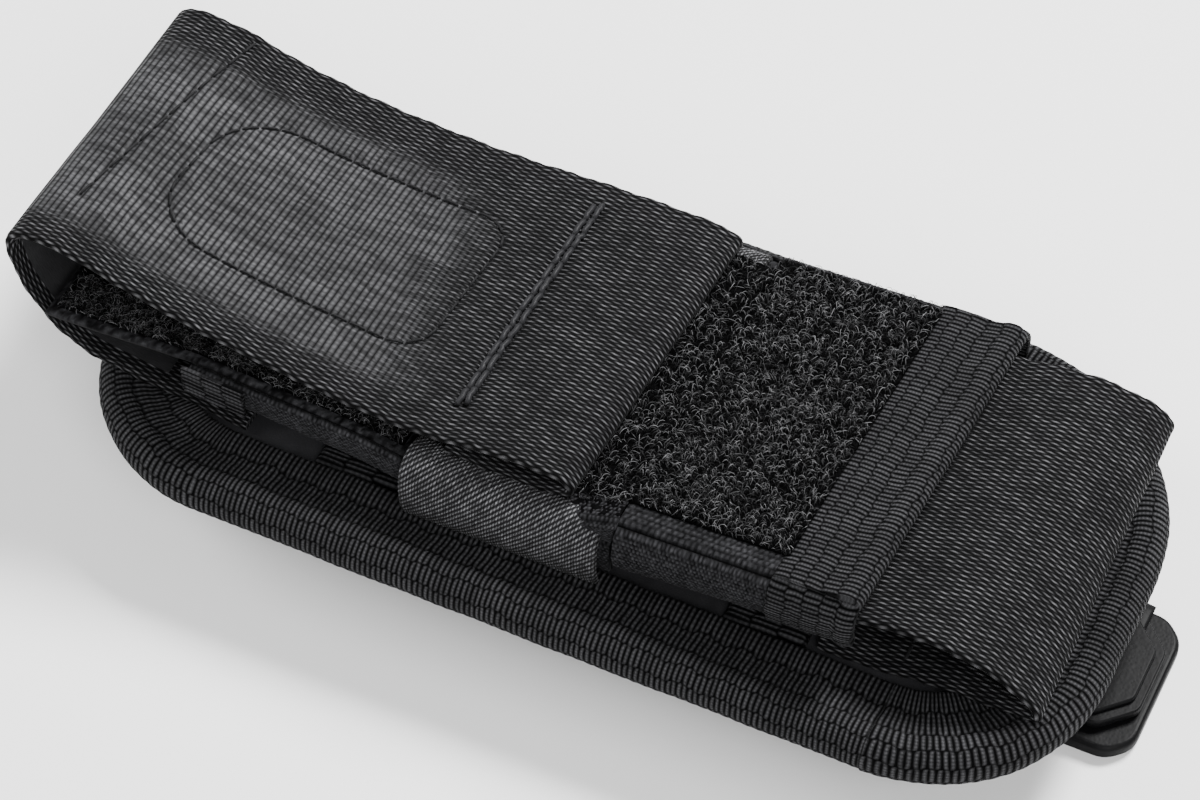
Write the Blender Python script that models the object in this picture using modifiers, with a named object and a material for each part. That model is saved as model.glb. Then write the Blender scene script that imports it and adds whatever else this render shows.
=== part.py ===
"""Empty nylon multi-tool sheath lying on its back.

X runs along the sheath from the mouth (-X) to the bottom end (+X), Y across it, Z up out of the front face.
The belt clip's outer leaf rests on Z = 0. Lengths below are millimetres and are turned into metres by MM.
Stations along X count from a line near the middle of the elastic band; FRAME_X moves the middle of the
overall length to X = 0.
"""
import bmesh
import bpy
from math import cos, hypot, radians, sin
from mathutils import Vector

MM = 0.001
GAP = 0.3
FRAME_X = 5.15

# Back panel and its binding.
PANEL_X0 = -64.7
PANEL_X1 = 80.7
PANEL_HALF_W = 38.8
CORNER_TOP = 25.0
CORNER_BOTTOM = 24.0
PANEL_BACK_Z = 12.4
PANEL_FACE_Z = 14.8
CORE_INSET = 4.4
RIM_Z = 14.2
RIM_R = 3.3
BINDING_W = 12.6

# Webbing.
WEB_HALF_W = 25.4
WEB_T = 1.4

# Elastic band across the front panel.
BAND_X0 = -13.3
BAND_X1 = 15.5
BAND_T = 1.0

# Belt clip.
CLIP_Y = -3.5
LEAF_HALF_W = 12.0
LEAF_X1 = 85.2
LEAF_T = 2.4
PIN_X = -60.0
PIN_Z = 4.6
PIN_R = 1.9
KNUCKLE_HALF_W = 8.0
INNER_HALF_W = 11.0
INNER_Z0 = 8.4
INNER_Z1 = 10.4

# Joint axes (x, z); every hinge axis runs along Y.
FLAP_AXIS = (-74.9, 34.75)
END_AXIS = (17.0, 25.6)
LATCH_AXIS = (69.6, 9.4)
LEAF_AXIS = (PIN_X, PIN_Z)

# Finishes: red, green, blue, roughness.
NYLON = (0.020, 0.020, 0.022, 0.85)
WEBBING = (0.024, 0.024, 0.026, 0.75)
GROSGRAIN = (0.018, 0.018, 0.019, 0.80)
LOOP = (0.012, 0.012, 0.013, 0.95)
HOOK = (0.022, 0.022, 0.023, 0.60)
ELASTIC = (0.022, 0.022, 0.024, 0.85)
PLASTIC = (0.016, 0.016, 0.017, 0.50)
SHEET = (0.050, 0.050, 0.050, 0.40)


def clear_scene():
    for ob in list(bpy.data.objects):
        bpy.data.objects.remove(ob, do_unlink=True)


def material(name, finish):
    """Own material for one piece; finish is (red, green, blue, roughness)."""
    mat = bpy.data.materials.new(name)
    mat.use_nodes = True
    color = (*finish[:3], 1.0)
    bsdf = mat.node_tree.nodes["Principled BSDF"]
    bsdf.inputs["Base Color"].default_value = color
    bsdf.inputs["Roughness"].default_value = finish[3]
    bsdf.inputs["Metallic"].default_value = 0.0
    mat.diffuse_color = color
    return mat


COLLECTION = None


def add_object(name, bm, finish, axis=None):
    """Link bm (in mm) as an object whose origin lies on axis, an (x, z) pair, or at the world origin."""
    origin = Vector((axis[0], 0.0, axis[1])) if axis else Vector((FRAME_X, 0.0, 0.0))
    bmesh.ops.translate(bm, verts=bm.verts, vec=-origin)
    bmesh.ops.scale(bm, verts=bm.verts, vec=(MM, MM, MM))
    bmesh.ops.recalc_face_normals(bm, faces=bm.faces)
    mesh = bpy.data.meshes.new(name)
    bm.to_mesh(mesh)
    bm.free()
    mesh.materials.append(material(name, finish))
    ob = bpy.data.objects.new(name, mesh)
    ob.location = (origin - Vector((FRAME_X, 0.0, 0.0))) * MM
    COLLECTION.objects.link(ob)
    return ob


def bevel(ob, width, segments=2):
    mod = ob.modifiers.new("edges", "BEVEL")
    mod.width = width * MM
    mod.segments = segments
    mod.limit_method = "ANGLE"
    mod.angle_limit = radians(50)


def prism(name, outline, plane, lo, hi, finish, axis=None):
    """Closed outline in the XY, XZ or YZ plane, extruded from lo to hi along the third axis."""
    third = {"XY": 2, "XZ": 1, "YZ": 0}[plane]
    bm = bmesh.new()
    verts = []
    for a, b in outline:
        co = [a, b]
        co.insert(third, lo)
        verts.append(bm.verts.new(co))
    face = bm.faces.new(verts)
    shift = [0.0, 0.0, 0.0]
    shift[third] = hi - lo
    grown = bmesh.ops.extrude_face_region(bm, geom=[face])["geom"]
    moved = [g for g in grown if isinstance(g, bmesh.types.BMVert)]
    bmesh.ops.translate(bm, verts=moved, vec=shift)
    return add_object(name, bm, finish, axis)


def smooth_path(points, steps=4):
    """Catmull-Rom curve through the points."""
    pts = [Vector(p) for p in points]
    pts = [2 * pts[0] - pts[1]] + pts + [2 * pts[-1] - pts[-2]]
    out = []
    for i in range(1, len(pts) - 2):
        p0, p1, p2, p3 = pts[i - 1:i + 3]
        for k in range(steps):
            t = k / steps
            a = 2 * p1
            b = p2 - p0
            c = 2 * p0 - 5 * p1 + 4 * p2 - p3
            d = 3 * p1 - p0 - 3 * p2 + p3
            out.append(0.5 * (a + b * t + c * t * t + d * t * t * t))
    out.append(pts[-2].copy())
    return out


def strip_outline(path, thickness):
    """Closed outline of a strip that lies on the right-hand side of the path."""
    inner = []
    for i, p in enumerate(path):
        q0 = path[max(0, i - 1)]
        q1 = path[min(len(path) - 1, i + 1)]
        d = (q1 - q0) / hypot(*(q1 - q0))
        inner.append(Vector((p[0] + d[1] * thickness, p[1] - d[0] * thickness)))
    return [tuple(p) for p in path] + [tuple(p) for p in reversed(inner)]


def strap(name, points, thickness, half_w, finish, axis=None, steps=4, y_mid=0.0):
    """Webbing or plate whose outer face follows the (x, z) points."""
    outline = strip_outline(smooth_path(points, steps), thickness)
    return prism(name, outline, "XZ", y_mid - half_w, y_mid + half_w, finish, axis)


def rounded_panel(x0, x1, half_w, r0, r1, steps=10):
    """Plan outline of the panel: radius r0 at the mouth end, r1 at the bottom end."""
    out = []
    corners = (
        (x1 - r1, -half_w + r1, r1, -90),
        (x1 - r1, half_w - r1, r1, 0),
        (x0 + r0, half_w - r0, r0, 90),
        (x0 + r0, -half_w + r0, r0, 180),
    )
    for cx, cy, r, start in corners:
        for k in range(steps + 1):
            a = radians(start + 90 * k / steps)
            out.append((cx + r * cos(a), cy + r * sin(a)))
    return out


def panel_ring(inset):
    return rounded_panel(
        PANEL_X0 + inset, PANEL_X1 - inset, PANEL_HALF_W - inset, CORNER_TOP - inset, CORNER_BOTTOM - inset
    )


def binding(name, finish):
    """Grosgrain binding: a round rim with two flat wings that hold the panel's edge between them."""
    section = []
    for k in range(9):
        a = radians(-100 + 230 * k / 8)
        section.append((RIM_R - RIM_R * cos(a), RIM_Z + RIM_R * sin(a)))
    section += [
        (6.8, 16.2),
        (BINDING_W, 16.2),
        (BINDING_W, PANEL_FACE_Z + GAP),
        (CORE_INSET - GAP, PANEL_FACE_Z + GAP),
        (CORE_INSET - GAP, PANEL_BACK_Z - GAP),
        (BINDING_W, PANEL_BACK_Z - GAP),
        (BINDING_W, 11.0),
    ]
    bm = bmesh.new()
    rings = []
    for inset, z in section:
        rings.append([bm.verts.new((x, y, z)) for x, y in panel_ring(inset)])
    n = len(rings[0])
    for i, ring in enumerate(rings):
        after = rings[(i + 1) % len(rings)]
        for k in range(n):
            m = (k + 1) % n
            bm.faces.new((ring[k], ring[m], after[m], after[k]))
    return add_object(name, bm, finish)


def offset_path(path, distance):
    """Path moved to its right-hand side."""
    outline = strip_outline(path, distance)
    return [Vector(p) for p in reversed(outline[len(path):])]


def clipped(path, x0, x1):
    return [p for p in path if x0 <= p[0] <= x1]


def strip(name, path, thickness, half_w, finish, axis=None):
    outline = strip_outline(path, thickness)
    return prism(name, outline, "XZ", -half_w, half_w, finish, axis)


def octagon_plan(x0, x1, half_w, chamfer, y_mid):
    return [
        (x0, y_mid - half_w),
        (x1 - chamfer, y_mid - half_w),
        (x1, y_mid - half_w + chamfer),
        (x1, y_mid + half_w - chamfer),
        (x1 - chamfer, y_mid + half_w),
        (x0, y_mid + half_w),
    ]


def arc(cx, cz, r, a0, a1, steps):
    out = []
    for k in range(steps + 1):
        a = radians(a0 + (a1 - a0) * k / steps)
        out.append((cx + r * cos(a), cz + r * sin(a)))
    return out


def side_pair(prefix, outline, inner, outer, finish, axis=None):
    """The same outline on the near side (-Y) and on the far side (+Y)."""
    prism(prefix + "_near", outline, "XZ", -outer, -inner, finish, axis)
    prism(prefix + "_far", outline, "XZ", inner, outer, finish, axis)


def join_boolean(ob, cutter, operation):
    for col in list(cutter.users_collection):
        col.objects.unlink(cutter)
    TOOLS.objects.link(cutter)
    cutter.hide_render = True
    cutter.display_type = "WIRE"
    mod = ob.modifiers.new(operation.lower(), "BOOLEAN")
    mod.operation = operation
    mod.solver = "EXACT"
    mod.object = cutter


def build_panel():
    core = panel_ring(CORE_INSET)
    prism("back_panel", core, "XY", PANEL_BACK_Z, PANEL_FACE_Z, NYLON)
    binding("panel_binding", GROSGRAIN)
    tape_z = PANEL_FACE_Z + GAP
    for name, x0, x1 in (("cross_tape_upper", -28.0, -15.0), ("cross_tape_lower", 32.0, 43.5)):
        outline = [(x0, tape_z), (x1, tape_z), (x1, tape_z + 0.8), (x0, tape_z + 0.8)]
        prism(name, outline, "XZ", -24.4, 24.4, GROSGRAIN)
    rows = (("rear_webbing_top", -43.5), ("rear_webbing_middle", -4.8), ("rear_webbing_bottom", 34.0))
    for name, x0 in rows:
        y0 = CLIP_Y - 16.5
        y1 = CLIP_Y + 16.5
        flat = CLIP_Y + 12.0
        path = [(-24.4, 12.1), (y0, 12.1), (CLIP_Y - 13.2, 9.0), (CLIP_Y - 12.0, 8.1)]
        path += [(flat, 8.1), (CLIP_Y + 13.2, 9.0), (y1, 12.1), (24.4, 12.1)]
        outline = strip_outline([Vector(p) for p in path], 1.1)
        prism(name, outline, "YZ", x0, x0 + 25.4, WEBBING)


def build_front():
    top = smooth_path(
        [(-67.8, 26.7), (-60.0, 26.5), (-45.0, 26.1), (-25.0, 24.9), (-12.0, 24.0), (2.0, 23.9), (16.7, 24.0)], 3
    )
    strip("front_panel", top, 1.0, 26.7, NYLON)
    strip("front_stiffener", offset_path(top, 1.0 + GAP), 0.7, 25.6, SHEET)
    patch = offset_path(clipped(top, -64.0, -14.3), -(1.2 + GAP))
    strip("loop_patch_upper", patch, 1.2, 24.6, LOOP)
    wall = [(-45.0, 22.9), (-17.0, 20.4), (16.7, 17.9), (16.7, 23.7), (-12.0, 23.7), (-25.0, 24.5), (-45.0, 25.6)]
    side_pair("side_wall", wall, 27.0, 28.2, NYLON)
    mouth = [(-45.6, 22.2), (-36.5, 21.6), (-36.5, 25.4), (-45.6, 26.4)]
    side_pair("mouth_binding", mouth, 28.5, 29.5, GROSGRAIN)
    half = 29.6
    outer = [(-half, 16.5)] + arc(-28.1, 23.8, 1.5, 180, 90, 4) + arc(28.1, 23.8, 1.5, 90, 0, 4) + [(half, 16.5)]
    band = strip_outline([Vector(p) for p in outer], BAND_T)
    prism("elastic_band", band, "YZ", BAND_X0, BAND_X1, ELASTIC)


def build_front_end():
    top = smooth_path([(17.3, 25.6), (30.0, 26.4), (41.0, 27.0), (52.0, 27.2)], 3)
    strip("front_end", top, 1.8, 26.7, NYLON, END_AXIS)
    patch = offset_path(clipped(top, 17.5, 41.2), -(1.3 + GAP))
    strip("loop_patch_lower", patch, 1.3, 26.2, LOOP, END_AXIS)
    lip = [(41.7, 27.3), (52.3, 27.5), (52.3, 25.6), (53.4, 25.6), (53.4, 28.7), (41.7, 28.3)]
    prism("end_binding", lip, "XZ", -26.7, 26.7, GROSGRAIN, END_AXIS)
    wall = [(17.4, 17.8), (29.0, 19.3), (40.0, 20.6), (52.8, 21.6), (52.8, 25.4), (41.0, 25.2), (29.0, 24.5), (17.4, 23.7)]
    side_pair("end_wall", wall, 27.0, 28.2, NYLON, END_AXIS)


def build_flap():
    lower = [
        (-74.9, 34.55),
        (-74.9, 33.6),
        (-73.9, 29.0),
        (-72.3, 26.0),
        (-70.0, 23.0),
        (-66.8, 20.4),
        (-63.0, 18.7),
        (-58.0, 17.8),
        (-52.0, 16.9),
        (-46.5, 16.6),
        (-42.5, 15.7),
        (-38.5, 15.1),
        (-32.0, 15.1),
    ]
    path = smooth_path(lower, 3)
    path.reverse()
    strip("flap_loop_lower", path, WEB_T, WEB_HALF_W, WEBBING)
    upper = [
        (-74.9, 34.95),
        (-74.9, 35.6),
        (-74.0, 37.0),
        (-71.6, 37.6),
        (-66.5, 37.3),
        (-56.5, 34.6),
        (-44.0, 31.7),
        (-30.0, 29.9),
        (-20.0, 29.2),
        (-11.0, 29.4),
        (-3.0, 29.8),
        (5.0, 29.8),
        (10.2, 29.4),
    ]
    top = smooth_path(upper, 4)
    strip("flap_strap", top, WEB_T, WEB_HALF_W, WEBBING, FLAP_AXIS)
    under = offset_path(top, WEB_T + GAP)
    strip("flap_hem", clipped(under, -8.5, 10.4), 2.0, WEB_HALF_W, WEBBING, FLAP_AXIS)
    strip("hook_patch", clipped(under, -59.0, -18.0), 1.0, 13.8, HOOK, FLAP_AXIS)


def build_bottom_loop():
    lower = [(45.0, 16.5), (51.0, 16.5), (55.5, 17.2), (60.0, 18.0), (66.0, 18.4), (70.5, 18.9), (74.6, 19.4)]
    strap("bottom_loop_lower", lower, WEB_T, WEB_HALF_W, WEBBING, steps=3)
    upper = smooth_path(
        [(28.0, 22.4), (40.0, 23.0), (47.0, 23.6), (53.5, 24.5), (59.0, 25.1), (64.5, 25.0), (70.5, 23.7), (74.4, 21.4)],
        3,
    )
    strip("bottom_loop_upper", upper, WEB_T, WEB_HALF_W, WEBBING)
    patch = offset_path(clipped(upper, 30.0, 46.0), -(0.8 + GAP))
    strip("bottom_hook_patch", patch, 0.8, 22.0, HOOK)


def build_clip():
    y0 = CLIP_Y - INNER_HALF_W
    y1 = CLIP_Y + INNER_HALF_W
    notch = KNUCKLE_HALF_W + 0.4
    plate = [(-64.0, y0), (69.2, y0), (69.2, y1), (-64.0, y1)]
    plate += [(-64.0, CLIP_Y + notch), (-54.8, CLIP_Y + notch), (-54.8, CLIP_Y - notch), (-64.0, CLIP_Y - notch)]
    bevel(prism("clip_inner_leaf", plate, "XY", INNER_Z0, INNER_Z1, PLASTIC), 0.4)
    slot = PIN_R + GAP
    ear = [(-64.0, 1.2), (-52.5, 1.2), (-52.5, 8.1), (-64.0, 8.1), (-64.0, PIN_Z + slot)]
    ear += arc(PIN_X, PIN_Z, slot, 90, -90, 10)
    ear += [(-64.0, PIN_Z - slot)]
    for name, lo, hi in (
        ("clip_ear_near", CLIP_Y - INNER_HALF_W, CLIP_Y - notch),
        ("clip_ear_far", CLIP_Y + notch, CLIP_Y + INNER_HALF_W),
    ):
        prism(name, ear, "XZ", lo, hi, PLASTIC)
    pin = arc(PIN_X, PIN_Z, PIN_R, 0, 345, 23)
    prism("clip_pin", pin, "XZ", y0, y1, PLASTIC)

    chamfered = octagon_plan(-51.0, LEAF_X1, LEAF_HALF_W, 3.4, CLIP_Y)
    leaf = prism("clip_outer_leaf", chamfered, "XY", 0.0, LEAF_T, PLASTIC, LEAF_AXIS)
    bore = PIN_R + GAP
    wall = 2.3
    curl = [(-50.0, 0.0), (-50.0, LEAF_T)]
    curl += arc(PIN_X, PIN_Z, bore, -90, -310, 20)
    curl += arc(PIN_X, PIN_Z, bore + wall, -310, -90, 20)
    curl = [(x, max(z, 0.0)) for x, z in curl]
    knuckle = prism(
        "clip_knuckle_tool", curl, "XZ", CLIP_Y - KNUCKLE_HALF_W, CLIP_Y + KNUCKLE_HALF_W, PLASTIC, LEAF_AXIS
    )
    join_boolean(leaf, knuckle, "UNION")

    profile = [
        (69.6, INNER_Z0 + 0.1),
        (73.0, 8.3),
        (76.5, 5.2),
        (79.0, 2.9),
        (84.2, 2.8),
        (84.2, 4.6),
        (80.0, 5.0),
        (77.4, 7.4),
        (74.0, 10.2),
        (69.6, INNER_Z1 - 0.1),
    ]
    latch = prism("clip_latch", profile, "XZ", CLIP_Y - 8.2, CLIP_Y + 8.2, PLASTIC, LATCH_AXIS)
    for name, sign in (("latch_corner_near_tool", -1.0), ("latch_corner_far_tool", 1.0)):
        corner = [
            (80.6, CLIP_Y + sign * 8.6),
            (84.8, CLIP_Y + sign * 3.6),
            (86.0, CLIP_Y + sign * 9.4),
        ]
        cutter = prism(name, corner, "XY", -2.0, 12.0, PLASTIC)
        join_boolean(latch, cutter, "DIFFERENCE")


clear_scene()
COLLECTION = bpy.data.collections.new("multi_tool_sheath")
bpy.context.scene.collection.children.link(COLLECTION)
TOOLS = bpy.data.collections.new("shaping_tools")
bpy.context.scene.collection.children.link(TOOLS)

build_panel()
build_front()
build_front_end()
build_flap()
build_bottom_loop()
build_clip()
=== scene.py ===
"""Looks of the empty multi-tool sheath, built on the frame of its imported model.

Stations are millimetres along the sheath; FX moves them to the row frame, and MM turns them into metres.
"""
from math import cos, pi, radians, sin

import bmesh
import bpy
import numpy as np
from mathutils import Matrix, Vector


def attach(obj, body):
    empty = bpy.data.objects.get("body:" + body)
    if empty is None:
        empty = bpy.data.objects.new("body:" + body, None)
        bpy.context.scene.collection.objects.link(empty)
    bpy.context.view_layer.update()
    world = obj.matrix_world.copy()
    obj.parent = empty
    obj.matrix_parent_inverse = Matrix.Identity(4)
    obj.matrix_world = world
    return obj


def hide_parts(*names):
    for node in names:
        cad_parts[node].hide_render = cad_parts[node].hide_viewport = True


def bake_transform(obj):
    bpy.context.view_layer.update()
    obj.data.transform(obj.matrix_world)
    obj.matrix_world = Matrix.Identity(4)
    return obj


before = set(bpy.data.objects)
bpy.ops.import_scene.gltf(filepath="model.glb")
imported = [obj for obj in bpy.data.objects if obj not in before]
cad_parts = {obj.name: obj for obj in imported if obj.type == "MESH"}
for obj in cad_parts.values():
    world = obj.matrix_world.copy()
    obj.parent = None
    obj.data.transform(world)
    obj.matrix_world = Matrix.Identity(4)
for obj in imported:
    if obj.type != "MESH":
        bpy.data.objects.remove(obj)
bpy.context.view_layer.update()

MM = 0.001
FX = 5.15
HALF_W = 25.4
WEB_T = 1.4
CLIP_Y = -3.5


# ---------------------------------------------------------------- camera and light

def make_camera():
    """Photograph's view: azimuth 25.8, elevation 50.4 degrees, long lens."""
    azimuth, elevation, roll = 0.450026, 0.879241, -0.004349
    back = Vector((sin(azimuth) * cos(elevation), -cos(azimuth) * cos(elevation), sin(elevation)))
    right = Vector((cos(azimuth), sin(azimuth), 0.0))
    up = right.cross(-back)
    cr, sr = cos(roll), sin(roll)
    r2 = cr * right + sr * up
    u2 = -sr * right + cr * up
    target = Vector((-FX, 0.0, 17.5)) * MM
    data = bpy.data.cameras.new("camera")
    data.sensor_width = 36.0
    data.lens = 3738.07 / 1200 * 36.0
    data.shift_x = 13.33 / 1200
    data.shift_y = -14.64 / 1200
    data.clip_start = 0.01
    data.clip_end = 20.0
    cam = bpy.data.objects.new("camera", data)
    basis = Matrix((r2, u2, back)).transposed()
    cam.matrix_world = Matrix.Translation(target + back * 0.506822) @ basis.to_4x4()
    bpy.context.scene.collection.objects.link(cam)
    bpy.context.scene.camera = cam


def area_light(name, location, target, size, power):
    """Rectangular light of that size in metres, turned to its target."""
    data = bpy.data.lights.new(name, "AREA")
    data.shape = "RECTANGLE"
    data.size, data.size_y = size
    data.energy = power
    ob = bpy.data.objects.new(name, data)
    ob.location = location
    ob.rotation_euler = (Vector(target) - Vector(location)).to_track_quat("-Z", "Y").to_euler()
    bpy.context.scene.collection.objects.link(ob)


def make_studio():
    """Pale floor and soft area lights."""
    world = bpy.data.worlds.new("studio")
    world.use_nodes = True
    world.node_tree.nodes["Background"].inputs["Color"].default_value = (1, 1, 1, 1)
    world.node_tree.nodes["Background"].inputs["Strength"].default_value = 0.35
    bpy.context.scene.world = world
    area_light("key", (0.22, 0.56, 0.76), (0, 0, 0.02), (0.30, 0.30), 26.0)
    area_light("side", (-0.75, -0.10, 0.45), (0, 0, 0.02), (0.35, 0.6), 7.0)
    area_light("fill", (0.45, -0.55, 0.60), (0, 0, 0.02), (0.5, 0.5), 8.0)
    mesh = bpy.data.meshes.new("floor")
    mesh.from_pydata([(-3, -3, 0), (3, -3, 0), (3, 3, 0), (-3, 3, 0)], [], [(0, 1, 2, 3)])
    floor = bpy.data.objects.new("floor", mesh)
    floor.location.z = -0.0001
    bpy.context.scene.collection.objects.link(floor)
    mat = bpy.data.materials.new("floor_paper")
    mat.use_nodes = True
    bsdf = mat.node_tree.nodes["Principled BSDF"]
    bsdf.inputs["Base Color"].default_value = (0.93, 0.93, 0.93, 1)
    bsdf.inputs["Roughness"].default_value = 0.95
    bsdf.inputs["Specular IOR Level"].default_value = 0.1
    mesh.materials.append(mat)


# ---------------------------------------------------------------- meshes

def mesh_object(name, co, quads, tris, weave, tone=None):
    """Smooth mesh from millimetre points; weave is (along, across, height 0 to 1) for each point."""
    mesh = bpy.data.meshes.new(name)
    co = (np.asarray(co, float) - (FX, 0, 0)) * MM
    quads = np.asarray(quads, np.int32).reshape(-1, 4)
    tris = np.asarray(tris, np.int32).reshape(-1, 3)
    mesh.vertices.add(len(co))
    mesh.vertices.foreach_set("co", co.astype(np.float32).ravel())
    mesh.loops.add(quads.size + tris.size)
    mesh.loops.foreach_set("vertex_index", np.concatenate([quads.ravel(), tris.ravel()]))
    mesh.polygons.add(len(quads) + len(tris))
    starts = np.concatenate([np.arange(len(quads)) * 4, quads.size + np.arange(len(tris)) * 3])
    mesh.polygons.foreach_set("loop_start", starts.astype(np.int32))
    mesh.update(calc_edges=True)
    mesh.validate()
    mesh.polygons.foreach_set("use_smooth", np.full(len(mesh.polygons), True))
    if tone is None:
        tone = np.zeros(len(co))
    for label, kind, key, values in (("weave", "FLOAT_VECTOR", "vector", weave), ("tone", "FLOAT", "value", tone)):
        data = mesh.attributes.new(label, kind, "POINT").data
        data.foreach_set(key, np.asarray(values, np.float32).ravel())
    ob = bpy.data.objects.new(name, mesh)
    bpy.context.scene.collection.objects.link(ob)
    return ob


def loft(name, rings, weave, tone=None, cyclic=False):
    """Closed cross-sections joined one after another; the ends are filled, or joined if cyclic."""
    n, m, _ = rings.shape
    i = np.arange(n if cyclic else n - 1)[:, None]
    j = np.arange(m)[None, :]
    after = (i + 1) % n
    beside = (j + 1) % m
    quads = np.stack([i * m + j, i * m + beside, after * m + beside, after * m + j], -1)
    co = rings.reshape(-1, 3)
    wv = weave.reshape(-1, 3)
    tn = np.zeros(n * m) if tone is None else tone.reshape(-1)
    tris = np.zeros((0, 3), int)
    if not cyclic:
        co = np.vstack([co, rings[0].mean(0), rings[-1].mean(0)])
        wv = np.vstack([wv, weave[0].mean(0), weave[-1].mean(0)])
        tn = np.concatenate([tn, tn[:1], tn[-1:]])
        k = np.arange(m)
        first = np.stack([(k + 1) % m, k, np.full(m, n * m)], -1)
        last = np.stack([(n - 1) * m + k, (n - 1) * m + (k + 1) % m, np.full(m, n * m + 1)], -1)
        tris = np.vstack([first, last])
    return mesh_object(name, co, quads, tris, wv, tn)


def catmull(points, steps=16):
    """Catmull-Rom through rows of numbers."""
    p = np.asarray(points, float)
    p = np.vstack([2 * p[0] - p[1], p, 2 * p[-1] - p[-2]])
    t = (np.arange(steps) / steps)[:, None]
    out = []
    for i in range(1, len(p) - 2):
        a, b = 2 * p[i], p[i + 1] - p[i - 1]
        c = 2 * p[i - 1] - 5 * p[i] + 4 * p[i + 1] - p[i + 2]
        d = 3 * p[i] - p[i - 1] - 3 * p[i + 1] + p[i + 2]
        out.append(0.5 * (a + b * t + c * t * t + d * t ** 3))
    return np.vstack(out + [p[-2:-1]])


class Ribbon:
    """Strap whose outer face follows (x, z) points; twist and skew are the near edge's lift and shift in mm."""

    def __init__(self, points, half_w, thick):
        rows = [tuple(p) + (0.0,) * (4 - len(p)) for p in points]
        self.rows = catmull(rows)
        step = np.hypot(*np.diff(self.rows[:, :2], axis=0).T)
        self.s = np.concatenate([[0.0], np.cumsum(step)])
        tangent = np.gradient(self.rows[:, :2], self.s, axis=0)
        tangent /= np.linalg.norm(tangent, axis=1)[:, None]
        self.normal = np.stack([-tangent[:, 1], tangent[:, 0]], 1)
        self.half_w = half_w
        self.thick = thick
        self.length = self.s[-1]

    def point(self, s, y, lift):
        s, y, lift = np.broadcast_arrays(s, y, lift)
        x, z, twist, skew = (np.interp(s, self.s, self.rows[:, k]) for k in range(4))
        nx, nz = (np.interp(s, self.s, self.normal[:, k]) for k in range(2))
        side = -y / self.half_w
        return np.stack([x + nx * lift + skew * side, y, z + nz * lift + twist * side], -1)

    def at(self, index):
        """Length along the strap at a control point."""
        return self.s[index * 16]

    def s_at(self, x, lo=0.0, hi=1e9):
        """Length along the strap at station x, between lo and hi, where x only grows or only shrinks."""
        keep = (self.s >= lo) & (self.s <= hi)
        xs, ss = self.rows[keep, 0], self.s[keep]
        order = np.argsort(xs)
        return np.interp(x, xs[order], ss[order])


def strap(name, ribbon, s0, s1, ds, height, pitch=0.6, tone=None, wander=0.0, lined=False):
    """Webbing strap from s0 to s1 along a ribbon: fine displaced outer face, plain inner face, rounded edges.

    ds and pitch are the mesh steps along and across it.
    """
    s = np.linspace(s0, s1, max(3, int((s1 - s0) / ds)))
    hw = ribbon.half_w
    v = np.linspace(-hw, hw, int(2 * hw / pitch) + 1)
    v = np.sort(np.concatenate([v, [-hw + 0.12, -hw + 0.3, hw - 0.3, hw - 0.12]]))
    back = np.concatenate([[hw - 0.5], np.linspace(hw, -hw, 13)[1:-1], [0.5 - hw]])
    radius = ribbon.thick / 2

    def edge(y):
        over = np.clip(np.abs(y) - (hw - radius), 0, radius)
        return radius - np.sqrt(np.maximum(radius ** 2 - over ** 2, 0))

    S, V = np.meshgrid(s, v, indexing="ij")
    h = height(S, V)
    rise = h - edge(V)
    wobble = wander * (np.sin(S * 0.9) + 0.6 * np.sin(S * 2.3 + 1.0))
    outer = ribbon.point(S, V + wobble * np.sign(V) * (np.abs(V) / hw) ** 6, rise)
    SB, VB = np.meshgrid(s, back, indexing="ij")
    inner = ribbon.point(SB, VB, -ribbon.thick + edge(VB))
    rings = np.concatenate([outer, inner], 1)
    round_edge = np.sign(VB) * (2 * hw + 0.6 - np.abs(VB))
    # The height also sets the painted shade and highlight in the cloth's base colour.
    face = np.stack([S, V, h / max(h.max(), 1e-6)], -1)
    weave = np.concatenate([face, np.stack([SB, round_edge, 0 * SB + 0.5], -1)], 1)
    tn = None
    if tone is not None:
        tn = np.concatenate([tone(outer[..., 0], V), -1.0 * lined * (np.abs(VB) < hw - 1.0)], 1)
    return loft(name, rings, weave, tn)


def tube_along(points, radius, sides):
    """(points, quads, tris) of a round thread along points, one row for each station."""
    p = np.asarray(points, float)
    tangent = np.gradient(p, axis=0)
    tangent /= np.maximum(np.linalg.norm(tangent, axis=1)[:, None], 1e-9)
    up = np.array([0.0, 0.0, 1.0])
    side = np.cross(tangent, up)
    bad = np.linalg.norm(side, axis=1) < 1e-3
    side[bad] = (1.0, 0.0, 0.0)
    side /= np.linalg.norm(side, axis=1)[:, None]
    other = np.cross(side, tangent)
    angle = np.arange(sides) * 2 * pi / sides
    radius = np.broadcast_to(radius, len(p))
    ring = np.cos(angle)[None, :, None] * side[:, None] + np.sin(angle)[None, :, None] * other[:, None]
    co = p[:, None] + ring * radius[:, None, None]
    n = len(p)
    start = np.arange(n - 1)[:, None] * sides
    j = np.arange(sides)[None]
    beside = (j + 1) % sides
    quads = np.stack([start + j, start + beside, start + sides + beside, start + sides + j], -1)
    last = (n - 1) * sides
    tris = []
    for a in range(1, sides - 1):
        tris.append((0, a + 1, a))
        tris.append((last, last + a, last + a + 1))
    return co.reshape(-1, 3), quads.reshape(-1, 4), np.array(tris, int).reshape(-1, 3)


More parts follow.
